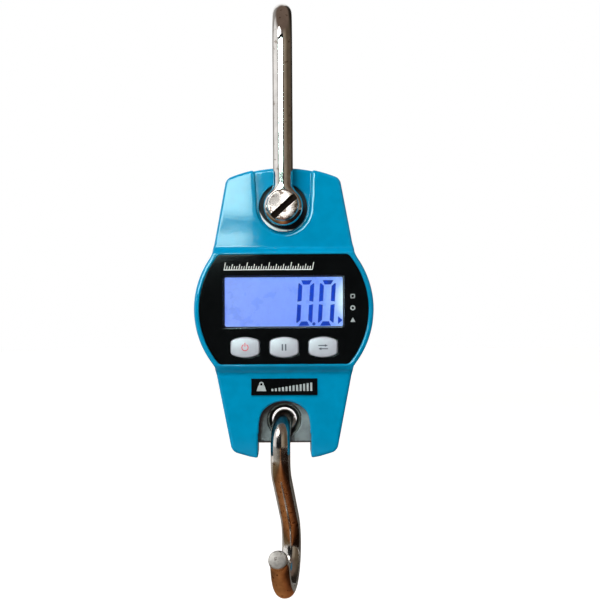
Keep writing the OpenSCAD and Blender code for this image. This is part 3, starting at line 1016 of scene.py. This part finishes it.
def second_finish(obj, finish, where):
    """Gives another finish to the faces whose middle, in mm about the display, passes a test."""
    mesh = obj.data
    mesh.materials.append(FINISHES[finish])
    middles = np.empty(3 * len(mesh.polygons))
    mesh.polygons.foreach_get("center", middles)
    middles = middles.reshape(-1, 3) * 1000 - np.array([0, 0, MID_Z])
    index = np.empty(len(mesh.polygons), dtype=np.int32)
    mesh.polygons.foreach_get("material_index", index)
    index[where(middles[:, 0], middles[:, 1], middles[:, 2])] = len(mesh.materials) - 1
    mesh.polygons.foreach_set("material_index", index)


# ---- the pieces ----


def stands_for(obj, finish, body, node):
    """A shaped piece shown in place of a CAD node."""
    painted(obj, finish)
    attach(obj, body)
    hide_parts(node)
    return obj


def added(obj, finish, body):
    """A small piece, such as a print, on a node of that body."""
    painted(obj, finish)
    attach(obj, body)
    return obj


def shaped_on(node, shape, finish, body, step):
    lo, hi = cad(node)
    lift = np.array([0, 0, MID_Z])
    obj = shaped(node + "_look", shape, lo - lift, hi - lift, step)
    return stands_for(obj, finish, body, node)


def build_case():
    fine = 0.5
    front = shaped_on("front_case", front_shape, "enamel", "case", fine)
    second_finish(front, "dark_plastic", lambda x, y, z: (panel_outline(x, z) < -0.4) & (y > -14.3))
    shaped_on("rear_case", rear_shape, "enamel", "case", fine)
    shaped_on("battery_cover", cover_shape, "enamel", "cover", fine * 0.9)
    cell = shaped_on("load_cell", cell_shape, "cell_metal", "case", fine)
    # the load cell's head round the bolt is painted near-black as shade, with a painted highlight crescent
    # low on its left
    second_finish(cell, "bore_painted_shade", lambda x, y, z: z > 27.0)


def build_steel():
    shaped_on("shackle", shackle_shape, "chrome", "shackle", 0.45)
    bolt = shaped_on("shackle_bolt", bolt_shape, "bolt_steel", "shackle", 0.25)
    top = cad("shackle_bolt")[0][1] + 0.5

    def in_slot(x, y, z):
        return (slot_width(x, z) < 0.1) & (y > top) & (y < top + 2.0)

    # the faces at the slot's floor get the painted shade
    second_finish(bolt, "slot_painted_shade", in_slot)
    hook = stands_for(hook_mesh("lower_hook_look"), "hook_chrome", "hook", "lower_hook")
    across, height, heading = hook_line()[-1]
    c, s = math.cos(math.radians(heading)), math.sin(math.radians(heading))

    def on_end(x, y, z):
        side, rise = (HOOK_AXIS[0] * y - HOOK_AXIS[1] * x) - across, z - height
        return (side * c + rise * s > -0.15) & (np.hypot(side, rise) < ROD_R)

    second_finish(hook, "cut_steel", on_end)
    stands_for(bush_mesh("hook_bush_look"), "bush_metal", "bush", "hook_bush")
    stands_for(coil_mesh("battery_springs_look"), "nickel", "case", "battery_springs")


def build_keys():
    bodies = {"power_button": "power_key", "hold_button": "hold_key", "unit_button": "unit_key"}
    marks = {"power_button": (power_marks, "print_red"), "hold_button": (hold_marks, "print_dark")}
    marks["unit_button"] = (unit_change_marks, "print_dark")
    for node, body in bodies.items():
        at = centre(node)[0]
        shaped_on(node, key_shape(at), "key_plastic", body, 0.28)
        draw, ink = marks[node]
        print_ = plate(node + "_mark", draw(at, BUTTON_H), -BUTTON_FRONT - 0.04, -BUTTON_FRONT + 0.25)
        added(print_, ink, body)


def build_prints():
    """Thin prints, each on the front face of its node."""
    prints = [
        ("display_digits", display_marks, 0.01, "segment_blue", "lcd_glass"),
        ("title_rule", title_marks, 0.02, "print_white", "panel_overlay"),
        ("unit_markers", unit_marks, 0.02, "print_grey", "panel_overlay"),
        ("capacity_mark", plate_marks, 0.02, "print_grey", "capacity_plate"),
    ]
    for name, draw, sunk, ink, node in prints:
        face = cad(node)[0][1]
        added(plate(name, draw(), face - 0.03, face + sunk), ink, "case")


# Each finish, with the CAD nodes that have it and the width of their rounded edges.
CAD_FINISHES = {
    "turned_steel": {"eye_spacers": 0.3},
    "seal_rubber": {"case_gasket": 0},
    "screw_zinc": {"case_screws": 0.15, "board_screws": 0.12, "cell_screws": 0.2, "cover_screws": 0.1},
    "gloss_black": {"panel_overlay": 0.12, "capacity_plate": 0.12},
    "clear_window": {"display_window": 0.1},
    "lit_display": {"lcd_glass": 0.1},
    "diffuser": {"lcd_backlight": 0.2},
    "grey_plastic": {"lcd_frame": 0.2},
    "contact_rubber": {"zebra_strip": 0.15},
    "board_green": {"main_board": 0.1},
    "dark_plastic": {
        "controller_chip": 0.12, "switch_bodies": 0.15, "battery_tray": 0.2,
        "power_plunger": 0.15, "hold_plunger": 0.15, "unit_plunger": 0.15,
    },
    "gauge_film": {"strain_gauges": 0},
    "silicone": {"gauge_coating": 0.4},
    "wire_white": {"sensor_lead": 0},
    "wire_red": {"battery_leads": 0},
    "cell_sleeve": {"battery_1": 0.3, "battery_2": 0.3, "battery_3": 0.3},
    "nickel": {"battery_plates": 0.08},
}


def dress_cad():
    for finish, pieces in CAD_FINISHES.items():
        for node, width in pieces.items():
            painted(NODES[node], finish)
            if width:
                bevelled(node, width)


# ---- studio ----

FLOOR_DROP = 0.030
SENSOR = 36.0
CAMERA_FAR = 0.55
FRAME_WIDTH = 0.240
CAMERA_ROLL = math.radians(0.35)
LOOK = Vector((0.0065, 0.0, 0.0037))
BOARD_LEFT, BOARD_WIDTH = -0.6, 2.0


def emitter(name, color, strength):
    mat, _, shader = node_tree(name)
    shader.inputs["Base Color"].default_value = (0, 0, 0, 1)
    shader.inputs["Specular IOR Level"].default_value = 0
    shader.inputs["Emission Color"].default_value = (*color, 1)
    shader.inputs["Emission Strength"].default_value = strength
    return mat


def bare_mesh(name, points, faces, material):
    """An object from points in metres, of one material."""
    mesh = bpy.data.meshes.new(name)
    mesh.from_pydata(points, [], faces)
    mesh.materials.append(material)
    return placed(name, mesh)


def card(name, corner, across, up, color, strength):
    """A flat lit or dark panel that the steel and enamel mirror."""
    c, a, u = Vector(corner), Vector(across), Vector(up)
    obj = bare_mesh(name, [c, c + a, c + a + u, c + u], [(0, 1, 2, 3)], emitter(name, color, strength))
    obj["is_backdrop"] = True
    return obj


def flagged(cards, names, state):
    """Holds the cards' glare off the named pieces (EXCLUDE), or keeps it to them alone (INCLUDE)."""
    group = bpy.data.collections.new("flagged")
    for name in names:
        group.objects.link(bpy.data.objects[name])
    for item in group.collection_objects:
        item.light_linking.link_state = state
    for obj in cards:
        obj.light_linking.receiver_collection = group


def dark_board(name, corner, across, up, stops, redder=None):
    """A mirrored board striped along X. redder is the two Y between which it turns redder."""
    obj = card(name, corner, across, up, (0, 0, 0), 1.0)
    mat = obj.data.materials[0]
    tree = mat.node_tree
    right = BOARD_LEFT + BOARD_WIDTH
    place = ranged(tree, coordinate(tree, "X"), 0, 1, BOARD_LEFT, right)
    color = color_ramp(tree, place, [((x - BOARD_LEFT) / BOARD_WIDTH, c) for x, c in stops])
    if redder:
        near = ranged(tree, coordinate(tree, "Y"), 0, 1, *redder)
        tint = mixed(tree, near, (1, 1, 1), (0.55, 0.40, 0.24))
        color = vector_math(tree, "MULTIPLY", color, tint)
    tree.links.new(color, tree.nodes["Principled BSDF"].inputs["Emission Color"])
    return obj


def floor(height):
    """A floor that is grey in front of the piece and glows pale behind it."""
    n, radius = 96, 4.0
    mat = finish_of("floor_pale", (0.52, 0.51, 0.50), 0.8, vary=0.01, grain=6, bump=0.0001, bump_scale=40)
    tree = mat.node_tree
    shader = tree.nodes["Principled BSDF"]
    shader.inputs["Emission Color"].default_value = (1.0, 0.995, 0.99, 1)
    glow = ranged(tree, coordinate(tree, "Y"), 0.05, 0.85, -0.1, 0.12)
    tree.links.new(glow, shader.inputs["Emission Strength"])
    points = [(x, y, height) for x, y in round_spot((0, 0), radius, n)]
    obj = bare_mesh("floor", points, [tuple(range(n))], mat)
    obj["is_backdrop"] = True


def backdrop(name, radius):
    """A white backdrop all round that only the camera sees, behind what the steel mirrors."""
    side, rows, pole = 64, 24, 0.02
    points = []
    for a in np.linspace(pole, math.pi - pole, rows):
        level = radius * math.cos(a)
        points += [(x, y, level) for x, y in round_spot((0, 0), radius * math.sin(a), side)]
    faces = bands(rows, side) + [tuple(range(side)), tuple(range((rows - 1) * side, rows * side))]
    obj = bare_mesh(name, points, faces, emitter(name, (1.0, 1.0, 1.0), 1.0))
    obj.visible_diffuse = obj.visible_glossy = obj.visible_transmission = obj.visible_shadow = False
    obj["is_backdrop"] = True


def surroundings():
    """A studio seen in the steel: white left and straight behind, dim at the camera, dark right."""
    world = bpy.data.worlds.new("studio")
    bpy.context.scene.world = world
    world.use_nodes = True
    tree = world.node_tree
    across, deep, rise = (coordinate(tree, axis, "Generated") for axis in "XYZ")
    back = tree.nodes.new("ShaderNodeMath")
    back.operation = "MULTIPLY"
    back.inputs[1].default_value = -1.0
    tree.links.new(deep, back.inputs[0])
    turn = tree.nodes.new("ShaderNodeMath")
    turn.operation = "ARCTAN2"
    tree.links.new(across, turn.inputs[0])
    tree.links.new(back.outputs[0], turn.inputs[1])
    white, grey, black = (1.0, 1.0, 1.0), (0.36, 0.35, 0.34), (0.02, 0.016, 0.012)
    stops = [
        (-180, white), (-161, white), (-157, grey), (-126, grey), (-117, white), (-70, white),
        (-62, (0.60, 0.60, 0.60)), (-52, white), (-12, (0.95, 0.95, 0.93)), (-4, (0.17, 0.16, 0.155)),
        (8, (0.17, 0.155, 0.135)), (16, (0.36, 0.31, 0.25)), (40, (0.26, 0.21, 0.15)),
        (56, (0.12, 0.09, 0.06)), (100, (0.11, 0.085, 0.06)), (122, (0.05, 0.04, 0.03)),
        (134, black), (166, black), (171, white), (180, white),
    ]
    part = ranged(tree, turn.outputs[0], 0, 1, -math.pi, math.pi)
    around = color_ramp(tree, part, [((degrees + 180) / 360, c) for degrees, c in stops])
    high = ranged(tree, rise, 0, 1, 0.55, 0.75)
    sky = mixed(tree, high, around, (0.16, 0.115, 0.09))
    tree.links.new(sky, tree.nodes["Background"].inputs["Color"])
    tree.nodes["Background"].inputs["Strength"].default_value = 1.0


def soft_light(name, place, aim, size, power, mirrored=True):
    data = bpy.data.lights.new(name, "AREA")
    data.shape, data.size, data.energy = "DISK", size, power
    obj = placed(name, data)
    obj.location = place
    obj.rotation_mode = "QUATERNION"
    obj.rotation_quaternion = (Vector(aim) - Vector(place)).to_track_quat("-Z", "Y")
    obj.visible_glossy = mirrored
    obj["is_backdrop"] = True


def camera():
    face = -PANEL_FRONT * 0.001
    data = bpy.data.cameras.new("camera")
    data.sensor_width = SENSOR
    data.lens = SENSOR * CAMERA_FAR / FRAME_WIDTH
    data.shift_x = LOOK.x / FRAME_WIDTH
    data.clip_start, data.clip_end = 0.01, 20
    obj = placed("camera", data)
    obj.location = (0.0, face - CAMERA_FAR, MID_Z * 0.001 + LOOK.z)
    obj.rotation_euler = (math.pi / 2, CAMERA_ROLL, 0)
    bpy.context.scene.camera = obj


def studio():
    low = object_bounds()[0].z
    mid = Vector((0, 0, MID_Z * 0.001))
    floor(low - FLOOR_DROP)
    surroundings()
    backdrop("backdrop", 3.8)
    soft_light("key_light", (-0.8, -0.9, 0.85), mid, 0.7, 6)
    soft_light("fill_light", (-0.10, -0.45, 0.38), (0, 0, -0.07), 0.25, 2.9, mirrored=False)
    h = mid.z + LOOK.z
    pale, strength, left = (0.70, 1, 0.94), 25, -0.75
    glare = [
        card("glare_high", (left, -0.85, h + 0.085), (0.72, 0, 0), (0, 0, 0.40), pale, strength),
        card("glare_low", (left, -0.85, h + 0.052), (0.715, 0, 0), (0, 0, 0.018), pale, strength),
    ]
    flagged(glare, ("shackle_bolt_look", "lower_hook_look"), "EXCLUDE")
    bolt = card("bolt_glare", (-1.1, -0.9, h - 0.25), (1.25, 0, 0), (0, 0, 1.0), (1, 0.99, 0.97), 3.1)
    flagged([bolt], ("shackle_bolt_look",), "INCLUDE")
    copper = [
        (-0.6, (0.36, 0.33, 0.29)), (-0.15, (0.26, 0.23, 0.18)), (-0.09, (0.20, 0.14, 0.09)),
        (-0.055, (0.36, 0.20, 0.12)), (-0.01, (0.60, 0.33, 0.18)), (0.025, (0.40, 0.18, 0.09)),
        (0.055, (0.10, 0.04, 0.02)), (0.11, (0.02, 0.011, 0.008)),
    ]
    slate = [
        (-0.6, (0.45, 0.43, 0.40)), (-0.10, (0.36, 0.34, 0.31)), (0.02, (0.20, 0.19, 0.17)),
        (0.2, (0.10, 0.09, 0.08)),
    ]
    level, wide = low - FLOOR_DROP + 0.001, (BOARD_WIDTH, 0, 0)
    near, far = (BOARD_LEFT, 0.10, level), (BOARD_LEFT, 1.70, level)
    warm = dark_board("warm_board", near, wide, (0, -3.6, 0), copper, redder=(-0.50, -0.15))
    cool = dark_board("back_board", far, wide, (0, -1.6, 0), slate)
    for c in glare + [bolt, warm, cool]:
        c.visible_camera = c.visible_diffuse = c.visible_shadow = False


bpy.context.scene.view_settings.view_transform = "Standard"
build_case()
build_steel()
build_keys()
build_prints()
dress_cad()
studio()
camera()
